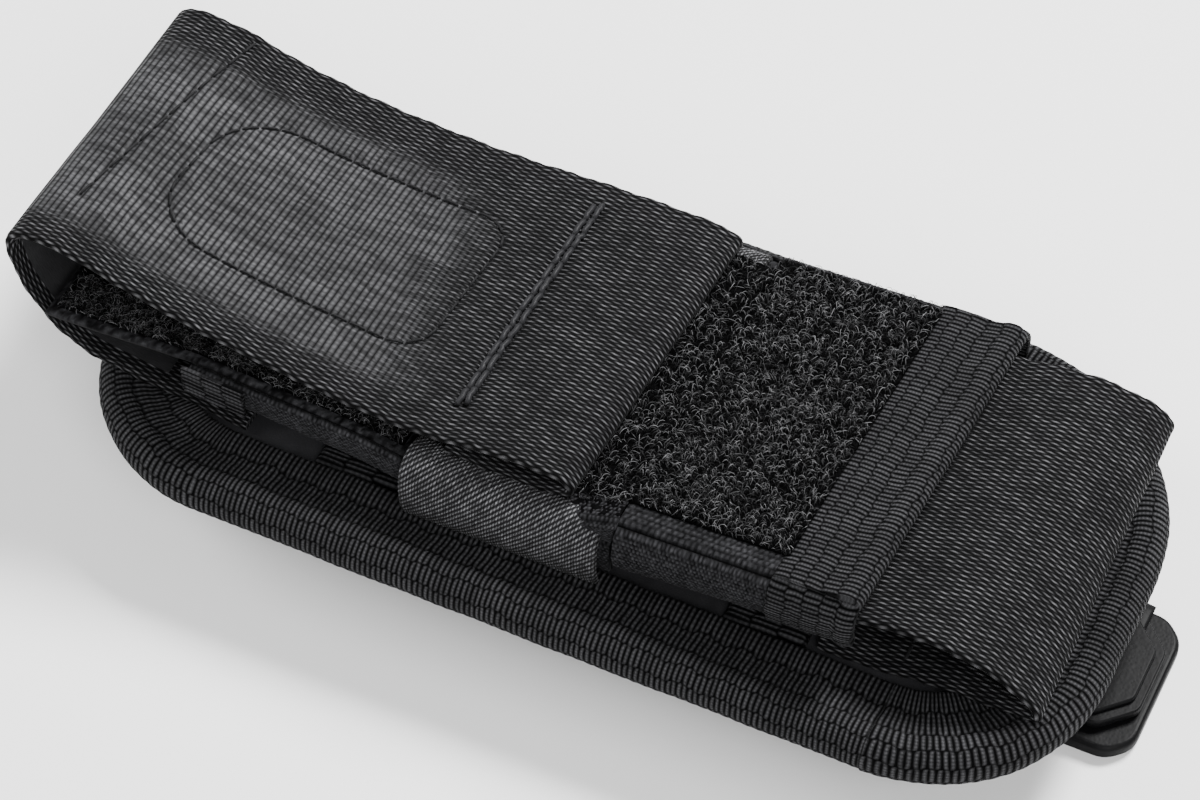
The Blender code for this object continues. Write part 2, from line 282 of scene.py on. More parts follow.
def threads(name, lines, radius, sides=6, painted_glint=None):
    """Many threads as one piece; weave holds (place along, side, painted glint): the glint lifts a thread's base
    colour towards its light colour.
    """
    co, quads, tris, weave, base = [], [], [], [], 0
    for k, line in enumerate(lines):
        c, q, t = tube_along(line, radius, sides)
        co.append(c)
        quads.append(q + base)
        tris.append(t + base)
        count = len(c) // sides
        along = np.repeat(np.arange(count) * 0.2, sides)
        # Painted glint: this value sets how light the thread's base colour is.
        bright = np.full(len(c), 1.0 if painted_glint is None else painted_glint[k])
        weave.append(np.stack([along, np.tile(np.arange(sides), count), bright], -1))
        base += len(c)
    return mesh_object(name, np.vstack(co), np.vstack(quads), np.vstack(tris), np.vstack(weave))


def stitch_lines(path, surface, pitch, share=0.82, lift=0.04, dip=0.25, steps=7):
    """Short stitches along a plan path (rows of numbers), set on surface(row, lift) -> points."""
    path = np.asarray(path, float)
    step = np.linalg.norm(np.diff(path, axis=0), axis=1)
    s = np.concatenate([[0.0], np.cumsum(step)])
    count = max(1, int(round(s[-1] / pitch)))
    out = []
    for k in range(count):
        a = (k + 0.5 - share / 2) * s[-1] / count
        b = (k + 0.5 + share / 2) * s[-1] / count
        t = np.linspace(0, 1, steps)
        at = a + (b - a) * t
        rows = np.stack([np.interp(at, s, path[:, c]) for c in range(path.shape[1])], -1)
        out.append(surface(rows, lift - dip * (2 * t - 1) ** 4))
    return out


# ---------------------------------------------------------------- materials

def shader(name):
    """New material: (material, nodes, links, its Principled node)."""
    mat = bpy.data.materials.new(name)
    mat.use_nodes = True
    nodes, links = mat.node_tree.nodes, mat.node_tree.links
    return mat, nodes, links, nodes["Principled BSDF"]


def math_node(nodes, links, op, a, b=None, clamp=False):
    node = nodes.new("ShaderNodeMath")
    node.operation = op
    node.use_clamp = clamp
    for socket, value in zip(node.inputs, (a, b)):
        if value is None:
            continue
        if isinstance(value, (int, float)):
            socket.default_value = value
        else:
            links.new(value, socket)
    return node.outputs[0]


def yarns(nodes, links, split, warp, tone, column, period, slant):
    """Plain weave in mm, ridged where tone is high: (height 0 to 1, a random value for each float)."""
    def m(op, *args):
        return math_node(nodes, links, op, *args)
    u = m("ADD", split.outputs[0], m("MULTIPLY", warp, 0.35))
    v = m("DIVIDE", split.outputs[1], column)
    c = m("FLOOR", v)
    f = m("SUBTRACT", v, c)
    across = m("POWER", m("SINE", m("MULTIPLY", f, pi)), 0.75, True)
    phase = m("ADD", m("DIVIDE", u, period), m("MULTIPLY", m("MODULO", c, 2.0), 0.5))
    phase = m("ADD", phase, m("MULTIPLY", f, slant))
    along = m("ADD", m("MULTIPLY", m("COSINE", m("MULTIPLY", phase, 2 * pi)), 0.5), 0.5)
    height = m("MULTIPLY", across, m("ADD", m("MULTIPLY", m("POWER", along, 1.5, True), 0.92), 0.08))
    row = m("DIVIDE", u, 0.93)
    rank = m("FLOOR", row)
    ridge = m("POWER", m("SINE", m("MULTIPLY", m("SUBTRACT", row, rank), pi)), 0.9, True)
    tips = m("ADD", m("MULTIPLY", v, 0.5), m("MULTIPLY", m("MODULO", rank, 2.0), 0.5))
    tips = m("ABSOLUTE", m("SINE", m("MULTIPLY", tips, pi)))
    ridge = m("MULTIPLY", ridge, m("ADD", m("MULTIPLY", tips, 0.22), 0.64))
    ridge = m("ADD", m("MULTIPLY", ridge, 0.74), 0.16)
    share = m("MULTIPLY", tone, 2.6, True)
    height = m("ADD", m("MULTIPLY", height, m("SUBTRACT", 1.0, share)), m("MULTIPLY", ridge, share))
    height = m("MULTIPLY", height, m("GREATER_THAN", tone, -0.5))
    cell = nodes.new("ShaderNodeCombineXYZ")
    links.new(c, cell.inputs[0])
    links.new(m("FLOOR", m("ADD", phase, 0.5)), cell.inputs[1])
    chance = nodes.new("ShaderNodeTexWhiteNoise")
    links.new(cell.outputs[0], chance.inputs["Vector"])
    return height, chance.outputs["Value"]


def ladder(nodes, links, split, warp, pitch):
    """Grosgrain held down in rows: round ribs across each row, their ends drawn together in pairs."""
    def m(op, *args):
        return math_node(nodes, links, op, *args)
    wave = m("MULTIPLY", m("SINE", m("MULTIPLY", split.outputs[0], 2 * pi / 5.3)), 0.07)
    across = m("ADD", m("ADD", split.outputs[1], wave), m("MULTIPLY", m("SUBTRACT", warp, 0.5), 0.5))
    rank = m("FLOOR", across)
    f = m("SUBTRACT", across, rank)
    end = m("ABSOLUTE", m("SUBTRACT", m("MULTIPLY", f, 2.0), 1.0))
    close = m("POWER", end, 5.0)
    along = m("ADD", m("DIVIDE", split.outputs[0], pitch), m("MULTIPLY", rank, 0.74))
    along = m("ADD", along, warp)
    rib = m("FLOOR", along)
    place = m("SUBTRACT", m("MULTIPLY", m("SUBTRACT", along, rib), 2.0), 1.0)
    lean = m("SUBTRACT", m("MULTIPLY", m("ABSOLUTE", m("MODULO", rib, 2.0)), 2.0), 1.0)
    place = m("ADD", place, m("MULTIPLY", m("MULTIPLY", lean, close), 0.34))
    line = m("SUBTRACT", 1.0, m("MULTIPLY", m("POWER", m("ABSOLUTE", place), 1.7), 1.35), True)
    line = m("MULTIPLY", line, m("SUBTRACT", 1.0, m("MULTIPLY", m("POWER", end, 9.0), 0.65)))
    beads = m("ADD", m("MULTIPLY", m("SINE", m("MULTIPLY", split.outputs[1], 2 * pi * 5)), 0.13), 0.87)
    cell = nodes.new("ShaderNodeCombineXYZ")
    links.new(rib, cell.inputs[0])
    links.new(rank, cell.inputs[1])
    chance = nodes.new("ShaderNodeTexWhiteNoise")
    links.new(cell.outputs[0], chance.inputs["Vector"])
    return m("MULTIPLY", line, beads), m("ADD", m("MULTIPLY", chance.outputs["Value"], 0.4), 0.3)


def cloth(name, dark, light, rough, sheen=0.03, fibre=(0.9, 9.0), bump=0.35, gamma=1.5, spec=0.25, weave=None,
          depth=0.12):
    """Yarn cloth: painted shade between the yarns and a painted highlight on their tops, with filaments along the
    weave's own lines.

    weave is (column, period, slant) for yarns or (pitch,) for grosgrain, in mm, when the material draws them
    with bumps of that depth; otherwise they are in the mesh.
    """
    mat, nodes, links, bsdf = shader(name)

    def m(op, *args):
        return math_node(nodes, links, op, *args)
    attribute = nodes.new("ShaderNodeAttribute")
    attribute.attribute_name = "weave"
    split = nodes.new("ShaderNodeSeparateXYZ")
    links.new(attribute.outputs["Vector"], split.inputs[0])
    join = nodes.new("ShaderNodeCombineXYZ")
    links.new(m("MULTIPLY", split.outputs[0], fibre[0]), join.inputs[0])
    links.new(m("MULTIPLY", split.outputs[1], fibre[1]), join.inputs[1])
    strand = nodes.new("ShaderNodeTexNoise")
    strand.inputs["Scale"].default_value = 1.0
    strand.inputs["Detail"].default_value = 3.0
    links.new(join.outputs[0], strand.inputs["Vector"])
    patch = nodes.new("ShaderNodeTexNoise")
    patch.inputs["Scale"].default_value = 0.16
    patch.inputs["Detail"].default_value = 5.0
    links.new(attribute.outputs["Vector"], patch.inputs["Vector"])
    tone = nodes.new("ShaderNodeAttribute")
    tone.attribute_name = "tone"
    height = split.outputs[2]
    relief = strand.outputs[0]
    # Painted shade and highlight: the base colour runs from dark in the hollows to light on the raised yarns,
    # following the weave's height.
    level = m("POWER", height, gamma, True)
    if weave is not None:
        if len(weave) == 1:
            height, chance = ladder(nodes, links, split, patch.outputs[0], *weave)
        else:
            height, chance = yarns(nodes, links, split, patch.outputs[0], tone.outputs["Fac"], *weave)
        # Painted shade and highlight again, from the drawn yarns' or ribs' height, times a random tone for each
        # float or rib.
        level = m("MULTIPLY", m("POWER", height, gamma, True), m("ADD", m("MULTIPLY", chance, 0.8), 0.5))
        level = m("ADD", level, m("MULTIPLY", m("LESS_THAN", tone.outputs["Fac"], -0.5), 0.22))
        relief = m("ADD", height, m("MULTIPLY", strand.outputs[0], 0.35))
    level = m("MULTIPLY", level, m("ADD", m("MULTIPLY", strand.outputs[0], 1.3), 0.35))
    level = m("MULTIPLY", level, m("ADD", m("MULTIPLY", patch.outputs[0], 0.9), 0.55))
    tone_squared = m("MULTIPLY", tone.outputs["Fac"], tone.outputs["Fac"])
    level = m("MULTIPLY", level, m("ADD", m("MULTIPLY", tone_squared, 0.24), 0.72))
    mix = nodes.new("ShaderNodeMix")
    mix.data_type = "RGBA"
    mix.clamp_factor = True
    links.new(level, mix.inputs["Factor"])
    mix.inputs["A"].default_value = (*dark, 1)
    mix.inputs["B"].default_value = (*light, 1)
    links.new(mix.outputs["Result"], bsdf.inputs["Base Color"])
    roughness = nodes.new("ShaderNodeMapRange")
    roughness.inputs["To Min"].default_value = 0.95
    roughness.inputs["To Max"].default_value = rough
    links.new(m("MULTIPLY", height, m("ADD", strand.outputs[0], 0.5)), roughness.inputs["Value"])
    links.new(roughness.outputs[0], bsdf.inputs["Roughness"])
    raised = nodes.new("ShaderNodeBump")
    raised.inputs["Strength"].default_value = 1.0 if weave is not None else bump
    raised.inputs["Distance"].default_value = depth * MM
    links.new(relief, raised.inputs["Height"])
    links.new(raised.outputs[0], bsdf.inputs["Normal"])
    bsdf.inputs["Sheen Weight"].default_value = sheen
    bsdf.inputs["Sheen Roughness"].default_value = 0.4
    bsdf.inputs["Specular IOR Level"].default_value = spec
    return mat


def moulded(name, color, rough, grain=2600.0, bump=0.5):
    """Moulded nylon with a fine pebble grain."""
    mat, nodes, links, bsdf = shader(name)
    place = nodes.new("ShaderNodeTexCoord")
    pebble = nodes.new("ShaderNodeTexVoronoi")
    pebble.feature = "SMOOTH_F1"
    pebble.inputs["Scale"].default_value = grain
    links.new(place.outputs["Object"], pebble.inputs["Vector"])
    cloud = nodes.new("ShaderNodeTexNoise")
    cloud.inputs["Scale"].default_value = 180.0
    cloud.inputs["Detail"].default_value = 5.0
    links.new(place.outputs["Object"], cloud.inputs["Vector"])
    mix = nodes.new("ShaderNodeMix")
    mix.data_type = "RGBA"
    links.new(cloud.outputs[0], mix.inputs["Factor"])
    mix.inputs["A"].default_value = (*[c * 0.75 for c in color], 1)
    mix.inputs["B"].default_value = (*[c * 1.3 for c in color], 1)
    links.new(mix.outputs["Result"], bsdf.inputs["Base Color"])
    roughness = nodes.new("ShaderNodeMapRange")
    roughness.inputs["To Min"].default_value = rough - 0.08
    roughness.inputs["To Max"].default_value = rough + 0.12
    links.new(cloud.outputs[0], roughness.inputs["Value"])
    links.new(roughness.outputs[0], bsdf.inputs["Roughness"])
    raised = nodes.new("ShaderNodeBump")
    raised.inputs["Strength"].default_value = bump
    raised.inputs["Distance"].default_value = 0.00015
    links.new(pebble.outputs["Distance"], raised.inputs["Height"])
    links.new(raised.outputs[0], bsdf.inputs["Normal"])
    bsdf.inputs["Specular IOR Level"].default_value = 0.07
    return mat


# For the woven and knitted cloths, dark is the painted shade in the hollows between yarns and light the painted
# highlight on their tops.
BLACK = (0.0008, 0.0008, 0.0009)
WEB = cloth("webbing_nylon", BLACK, (0.100, 0.100, 0.105), 0.34, gamma=1.9, spec=0.06, sheen=0.01,
            weave=(0.40, 2.6, 0.14), depth=0.16)
RIB = cloth("grosgrain_nylon", BLACK, (0.066, 0.066, 0.070), 0.5, fibre=(9.0, 6.0), gamma=1.7, spec=0.04,
            sheen=0.01, weave=(0.76,), depth=0.24)
KNIT = cloth("side_knit", BLACK, (0.050, 0.050, 0.054), 0.7, fibre=(4.0, 4.0), gamma=1.8, spec=0.04,
             sheen=0.01)
STRETCH = cloth("elastic_knit", (0.002, 0.002, 0.0022), (0.22, 0.22, 0.232), 0.6, fibre=(5.0, 5.0), gamma=1.3,
                spec=0.08, weave=(0.42, 0.9, 0.5), depth=0.2)
SMOOTH = cloth("lining_nylon", (0.008, 0.008, 0.0088), (0.040, 0.040, 0.043), 0.5, fibre=(5.0, 5.0),
               spec=0.06, gamma=1.0)
FUZZ = cloth("loop_base", BLACK, (0.0025, 0.0025, 0.0027), 0.8, fibre=(3.0, 3.0), spec=0.02, sheen=0.0)
# The loop fibres' light colour is the painted glint on the few fibres that get one.
FIBRE = cloth("loop_fibre", BLACK, (0.30, 0.30, 0.31), 0.35, gamma=1.0, spec=0.08,
              sheen=0.0)
HOOKS = cloth("hook_tape", BLACK, (0.02, 0.02, 0.021), 0.4, spec=0.1)
THREAD = cloth("sewing_thread", (0.001, 0.001, 0.001), (0.014, 0.014, 0.015), 0.5, gamma=1.0, spec=0.06)
TWIST = cloth("heavy_thread", BLACK, (0.024, 0.024, 0.026), 0.4, fibre=(2.0, 5.0), gamma=1.0, spec=0.07,
              sheen=0.01)
PLASTIC = moulded("clip_plastic", (0.0030, 0.0030, 0.0033), 0.46, grain=2200.0, bump=0.16)
SHEET = moulded("stiffener_plastic", (0.05, 0.05, 0.052), 0.35, grain=500.0, bump=0.1)


def dress(ob, mat, slot, *nodes):
    """Gives a piece its material and hides the nodes that it replaces; slot is not used."""
    ob.data.materials.clear()
    ob.data.materials.append(mat)
    if nodes:
        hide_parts(*nodes)
    return ob


# ---------------------------------------------------------------- height patterns

LATTICE = np.random.default_rng(11).random((256, 256))


def noise(x, y, scale=1.0):
    """Smooth value noise from 0 to 1."""
    x, y = np.asarray(x) / scale + 1000.0, np.asarray(y) / scale + 1000.0
    i, j = np.floor(x).astype(int), np.floor(y).astype(int)
    u, v = x - i, y - j
    u, v = u * u * (3 - 2 * u), v * v * (3 - 2 * v)
    a, b = LATTICE[i % 256, j % 256], LATTICE[(i + 1) % 256, j % 256]
    c, d = LATTICE[i % 256, (j + 1) % 256], LATTICE[(i + 1) % 256, (j + 1) % 256]
    return (a * (1 - u) + b * u) * (1 - v) + (c * (1 - u) + d * u) * v


def selvage(s, v, half_w, depth=0.09):
    """Woven edge: two fat yarns that wind round one another."""
    near = np.clip((np.abs(v) - (half_w - 1.5)) / 0.5, 0, 1)
    twist = 0.5 + 0.5 * np.cos(2 * pi * s / 1.7 + np.where(np.abs(v) > half_w - 0.75, pi, 0.0))
    return near, depth * (0.3 + 0.7 * twist)


def web_height(half_w, groove=None):
    """Height over a webbing's face as a function of (s, v)."""
    def height(s, v):
        h = 0.14 * (noise(s, v, 9.0) - 0.5) + 0.04 * np.cos(2 * pi * s / 1.05)
        near, edge = selvage(s, v, half_w)
        h = h * (1 - near) + edge * near
        if groove is not None:
            h = h - groove(s, v)
        return np.maximum(h, -0.45) + 0.02
    return height


def ribs(along, across, pitch, depth):
    """Grosgrain ribs across the tape: round yarns with deep gaps."""
    rib = (0.5 + 0.5 * np.cos(2 * pi * along / pitch)) ** 1.4
    return depth * rib * (0.9 + 0.2 * noise(along, across, 0.9))


def knit(a, b, pitch, depth):
    """Coarse stretch knit with a fuzzy face."""
    row = np.floor(b / pitch)
    h = np.abs(np.sin(pi * (a / pitch + 0.5 * np.mod(row, 2)))) * np.abs(np.sin(pi * b / pitch)) ** 0.7
    return depth * (0.65 * h + 0.6 * noise(a, b, 0.32))


def checker(a, b, pitch, depth):
    """Knitted elastic: small diagonal beads."""
    h = 0.5 + 0.5 * np.sin(2 * pi * a / pitch) * np.sin(2 * pi * b / pitch)
    return depth * (h ** 0.8 * 0.8 + 0.35 * noise(a, b, 0.3))


def front_tilt(x):
    """Lift of the front panel's near edge, in mm, along the sheath."""
    return np.interp(x, [-60, 10, 16.9, 17.2, 52], [0.0, 0.2, 0.5, 2.1, 2.1])


def shell(name, a, b_fine, b_coarse, outer, inner, weave_height, thread=lambda a, b: (a, b)):
    """Closed sheet from two functions of (a, b): a finely displaced outer face and a plain inner face.

    thread turns (a, b) into the weave's own (along, across).
    """
    A, B = np.meshgrid(a, b_fine, indexing="ij")
    h = weave_height(A, B)
    A2, B2 = np.meshgrid(a, b_coarse[::-1], indexing="ij")
    rings = np.concatenate([outer(A, B, h), inner(A2, B2)], 1)
    top = h.max() if h.max() > 0 else 1.0
    # The height also sets the painted shade and highlight in the cloth's base colour.
    face = np.stack([*thread(A, B), np.clip(h / top, 0, 1)], -1)
    weave = np.concatenate([face, np.stack([*thread(A2, B2), 0.4 + 0 * A2], -1)], 1)
    return loft(name, rings, weave)


# ---------------------------------------------------------------- closure flap

FLAP = Ribbon(
    [
        (-33.0, 15.1), (-38.5, 15.1), (-42.5, 15.7), (-46.5, 16.6), (-52.0, 16.9, 0.1), (-58.0, 17.8, 0.2),
        (-63.0, 18.7, 0.3, 0.2), (-66.8, 20.4, 0.5, 0.5), (-70.0, 23.0, 0.8, 0.8), (-72.3, 26.0, 1.0, 1.0),
        (-73.9, 29.0, 1.2, 1.1), (-74.9, 32.6, 1.6, 1.1), (-74.7, 35.6, 1.9, 1.1), (-72.7, 37.4, 2.1, 1.0),
        (-68.5, 37.7, 2.2, 0.8), (-62.5, 36.6, 2.3, 0.5), (-56.5, 34.6, 2.4, 0.2), (-44.0, 31.7, 1.9),
        (-30.0, 29.9, 1.2), (-20.0, 29.2, 0.6), (-11.0, 29.3, 0.3), (-3.0, 29.9, 0.8, -0.3),
        (4.0, 30.1, 1.1, -0.6), (8.4, 29.7, 1.1, -0.8), (10.5, 28.7, 1.0, -0.8), (10.9, 27.4, 0.9, -0.8),
        (9.8, 26.3, 0.8, -0.8), (7.0, 25.8, 0.7, -0.6), (0.0, 25.8, 0.5, -0.3), (-8.5, 26.6, 0.3),
    ],
    HALF_W, WEB_T,
)
LOOP_S, TOP_S, END_S = FLAP.at(4), FLAP.at(14), FLAP.at(23)


def flap_s(x):
    """Length along the strap at station x of its upper face."""
    return FLAP.s_at(x, TOP_S, END_S)


def flap_top(rows, lift):
    """Points on the flap's upper face for plan rows (x, y)."""
    return FLAP.point(flap_s(rows[:, 0]), rows[:, 1], lift)


def racetrack(x0, x1, y0, y1, r0, r1, steps=10):
    """Rounded plan outline, r0 at the x0 end and r1 at the x1 end, as a closed line."""
    out = []
    for cx, cy, r, start in ((x1 - r1, y0 + r1, r1, -90), (x1 - r1, y1 - r1, r1, 0),
                             (x0 + r0, y1 - r0, r0, 90), (x0 + r0, y0 + r0, r0, 180)):
        for k in range(steps + 1):
            a = radians(start + 90 * k / steps)
            out.append((cx + r * cos(a), cy + r * sin(a)))
    return np.array(out + out[:1])


TRACK = racetrack(-59.0, -17.5, -13.3, 12.8, 9.5, 5.0)
TRACK[:, 0] += 0.06 * TRACK[:, 1]
SKEW_LINE = np.array([(-68.4, -15.4), (-66.4, -2.0), (-64.4, 12.0), (-62.3, 24.0)])
DOUBLE_A = np.array([(-9.7, -19.4), (-9.4, 0.0), (-8.9, 20.8)])
DOUBLE_B = np.array([(-8.3, -19.2), (-8.0, 0.0), (-7.5, 20.9)])


def distance_to(px, py, line):
    """Distance from each plan point to a line of rows."""
    best = np.full(px.shape, 1e9)
    for (x0, y0), (x1, y1) in zip(line[:-1], line[1:]):
        dx, dy = x1 - x0, y1 - y0
        t = np.clip(((px - x0) * dx + (py - y0) * dy) / max(dx * dx + dy * dy, 1e-9), 0, 1)
        best = np.minimum(best, np.hypot(px - x0 - t * dx, py - y0 - t * dy))
    return best


def flap_groove(s, v):
    """Depth to which the stitch lines pull the webbing down."""
    x = np.interp(s, FLAP.s, FLAP.rows[:, 0])
    upper = (s > TOP_S - 4) & (s < END_S)
    out = np.zeros_like(s)
    for line, width in ((TRACK, 0.5), (SKEW_LINE, 0.5), (DOUBLE_A, 0.8), (DOUBLE_B, 0.8)):
        out = np.maximum(out, 0.3 * np.exp(-(distance_to(x, v, line) / width) ** 2))
    return np.where(upper, out, 0.0)


def flap_tone(x, v):
    """The left half is ridged, with greyer bands along it; the edges are not."""
    left = 1 / (1 + np.exp((x + 24 + 0.25 * v) / 3.0))
    inside = 1 / (1 + np.exp((np.abs(v + 1.5) - 18.5) / 0.9))
    band = np.exp(-((v - 7.5) / 5.4) ** 12)
    band = band + np.exp(-((v + 13.0) / 4.6) ** 12) / (1 + np.exp((x + 34) / 0.8))
    return left * inside * np.clip(0.45 + 0.5 * band + 0.1 * noise(x, v, 0.3), 0, 1)


def make_flap():
    """Webbing from the panel round the top fold to the folded hem, its stitches and its hook patch."""
    height = web_height(HALF_W, flap_groove)
    sewn = strap("flap_web_sewn", FLAP, 6.0, LOOP_S, 0.5, web_height(HALF_W), pitch=0.6)
    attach(dress(sewn, WEB, "webbing", "flap_loop_lower"), "sheath")
    web = strap("flap_web", FLAP, LOOP_S, FLAP.length, 0.4, height, pitch=0.45, tone=flap_tone, wander=0.1,
                lined=True)
    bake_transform(dress(web, WEB, "webbing", "flap_strap", "flap_hem"))
    lines = stitch_lines(TRACK, flap_top, 2.7)
    lines += stitch_lines(SKEW_LINE, flap_top, 3.2)
    track = threads("flap_stitches", lines, 0.19)
    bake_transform(dress(track, THREAD, "webbing"))
    rows = []
    for line, phase, aside in ((DOUBLE_A, 0.0, 0.22), (DOUBLE_B, 1.4, -0.22)):
        y = np.arange(line[0, 1], line[-1, 1], 0.4)
        x = np.interp(y, line[:, 1], line[:, 0]) + aside + 0.5 * (noise(y, y + phase, 0.35) - 0.5)
        rows += stitch_lines(np.stack([x, y + phase * 0.3], 1), flap_top, 3.3, share=0.96, lift=0.22)
    rows = threads("flap_end_stitches", rows, 0.42)
    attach(dress(rows, TWIST, "webbing"), "flap")
    curve = [(-59, 33.7, 2.3), (-52, 31.8, 2.2), (-44, 30.0, 1.9), (-30, 28.2, 1.2), (-18.4, 27.5, 0.6)]
    patch = Ribbon(curve, 13.8, 1.0)
    hooks = strap("flap_hook_patch", patch, 0, patch.length, 0.6, lambda s, v: 0.0 * s, pitch=1.2)
    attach(dress(hooks, HOOKS, "hook_fastener", "hook_patch"), "flap")
    hook = np.array([(0, 0, 0), (0, 0, -0.45), (0.15, 0, -0.75), (0.4, 0, -0.7), (0.5, 0, -0.5)])
    stems = []
    for x in np.arange(-58, -19, 1.6):
        for y in np.arange(-13, 13.2, 1.6):
            stems.append(patch.point(patch.s_at(x), y, -1.0) + hook)
    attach(dress(threads("flap_hooks", stems, 0.09, 4), HOOKS, "hook_fastener"), "flap")


# ---------------------------------------------------------------- bottom loop

BOTTOM = Ribbon(
    [
        (28.0, 22.4), (40.0, 23.0, 0.2), (47.0, 23.6, 0.5), (53.5, 24.5, 0.9), (59.0, 25.2, 0.7),
        (64.5, 25.1, 0.2), (69.5, 23.9, -0.3), (73.2, 22.0, -0.9, 0.1), (75.0, 20.0, -1.2, 0.3), (74.9, 18.4, -1.2, 0.3),
        (73.0, 17.6, -0.7, 0.1), (68.0, 17.0, -0.3), (62.0, 16.6), (56.0, 15.7), (51.0, 15.1), (45.0, 15.1),
    ],
    HALF_W, WEB_T,
)


def make_bottom():
    """Webbing loop at the bottom end, with the hook strip and the stitches that hold it."""
    web = strap("bottom_web", BOTTOM, 0.0, BOTTOM.length, 0.35, web_height(HALF_W), pitch=0.5, wander=0.1)
    dress(web, WEB, "webbing", "bottom_loop_upper", "bottom_loop_lower")
    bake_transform(web)
    patch = Ribbon([(34, 23.8), (40, 24.15), (46, 24.6)], 18.0, 0.8)
    height = lambda s, v: 0.12 * noise(s, v, 0.5)
    hooks = strap("bottom_hooks", patch, 0, patch.length, 0.6, height, pitch=1.2)
    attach(dress(hooks, HOOKS, "hook_fastener", "bottom_hook_patch"), "bottom_strap")
    lines = []
    for x in (47.5, 56.5):
        s = BOTTOM.s_at(x, BOTTOM.length * 0.6, BOTTOM.length)
        path = np.array([(s, -23.5), (s, 23.5)])
        lines += stitch_lines(path, lambda r, lift: BOTTOM.point(r[:, 0], r[:, 1], -WEB_T - lift), 3.0)
    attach(dress(threads("bottom_loop_stitches", lines, 0.24), THREAD, "webbing"), "sheath")


# ---------------------------------------------------------------- back panel

X0, X1, NEAR_W, FAR_W, R0, R1, R_FAR = -64.7, 80.7, 38.8, 34.6, 25.0, 24.0, 31.0
RIM_Z, RIM_R = 14.2, 3.3


def edge_line(inset, count):
    """(points, outward directions, lengths, whole length) at count places round the panel's edge."""
    pts, normals = [], []
    corners = ((X1 - R1, -NEAR_W + R1, R1, -90), (X1 - R_FAR, FAR_W - R_FAR, R_FAR, 0),
               (X0 + R0, FAR_W - R0, R0, 90), (X0 + R0, -NEAR_W + R0, R0, 180))
    for cx, cy, r, start in corners:
        for k in range(41):
            a = radians(start + 90 * k / 40)
            pts.append((cx + (r - inset) * cos(a), cy + (r - inset) * sin(a)))
            normals.append((cos(a), sin(a)))
    pts, normals = np.array(pts + pts[:1]), np.array(normals + normals[:1])
    s = np.concatenate([[0], np.cumsum(np.hypot(*np.diff(pts, axis=0).T))])
    at = np.arange(count) * s[-1] / count
    p = np.stack([np.interp(at, s, pts[:, k]) for k in range(2)], -1)
    n = np.stack([np.interp(at, s, normals[:, k]) for k in range(2)], -1)
    return p, n / np.linalg.norm(n, axis=1)[:, None], at, s[-1]


def binding_section():
    """(inset, z, row position, exposed) round the binding, from the lower wing over the rim to the slot."""
    path = [(12.6, 11.0), (9.6, 10.95), (6.6, 10.9), (4.4, 10.95)]
    for k in range(15):
        a = radians(-92 + 215 * k / 14)
        path.append((RIM_R - RIM_R * cos(a), RIM_Z + RIM_R * sin(a)))
    path += [(5.9, 16.75), (6.6, 16.5)]
    path += [(d, 16.25 - 0.02 * (d - 6.6)) for d in np.arange(7.0, 12.7, 0.4)]
    path = np.array(path)
    u = np.concatenate([[0], np.cumsum(np.hypot(*np.diff(path, axis=0).T))])
    fine_u = np.concatenate([np.linspace(0, 12, 12, endpoint=False), np.arange(12, u[-1], 0.42)])
    d, z = np.interp(fine_u, u, path[:, 0]), np.interp(fine_u, u, path[:, 1])
    top = u[-1] - fine_u
    closing = [(12.6, 15.1, 0, 0), (5.0, 15.1, 0, 0), (5.0, 12.1, 0, 0), (12.6, 12.1, 0, 0)]
    rows = [(a, b, c, 1.0) for a, b, c in zip(d, z, top)]
    return np.array(rows + closing)


def make_panel():
    """Grosgrain binding round the panel's edge: two quilted rows above, then finer rows over the rim."""
    p, n, s, total = edge_line(6.0, 1500)
    section = binding_section()
    dz = np.gradient(section[:, 1])
    dd = np.gradient(section[:, 0])
    size = np.maximum(np.hypot(dz, dd), 1e-9)
    out_d, out_z = -dz / size, dd / size
    S = np.repeat(s[:, None], len(section), 1)
    U = np.repeat(section[None, :, 2], len(s), 0)
    E = np.repeat(section[None, :, 3], len(s), 0)
    pairs = round(total / 1.6)
    period = total / pairs
    row_w = 4.05
    rows = np.where(U < 2 * row_w, U / row_w, 2 + (U - 2 * row_w) / 2.5)
    row = np.floor(rows)
    f = rows - row
    wave = S + 0.55 * period * row + 0.35 * (noise(S, row * 7.3, 6.0) - 0.5) + 0.12 * np.sin(pi * f)
    rib = (0.5 + 0.5 * np.cos(2 * pi * wave / period)) ** 0.8
    ends = 1 - np.abs(2 * f - 1) ** 7
    crown = np.where(rows < 2, 0.34 * np.sqrt(np.maximum(1 - (2 * f - 1) ** 2, 0)) - 0.25, 0.0)
    crown = crown + 0.22 * (noise(S, U, 5.0) - 0.5)
    h = E * (0.07 * rib * (0.25 + 0.75 * ends) + crown)
    x = p[:, None, 0] - n[:, None, 0] * (section[None, :, 0] - 6.0) + 0 * S
    y = p[:, None, 1] - n[:, None, 1] * (section[None, :, 0] - 6.0) + 0 * S
    x = x - n[:, None, 0] * out_d[None, :] * h
    y = y - n[:, None, 1] * out_d[None, :] * h
    z = section[None, :, 1] + out_z[None, :] * h
    rings = np.stack([x, y, z], -1)
    weave = np.stack([S * 0.8 * 2 * pairs / total, rows + 20, E], -1)
    tape = loft("binding_tape", rings, weave, cyclic=True)
    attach(dress(tape, RIB, "grosgrain", "panel_binding"), "sheath")


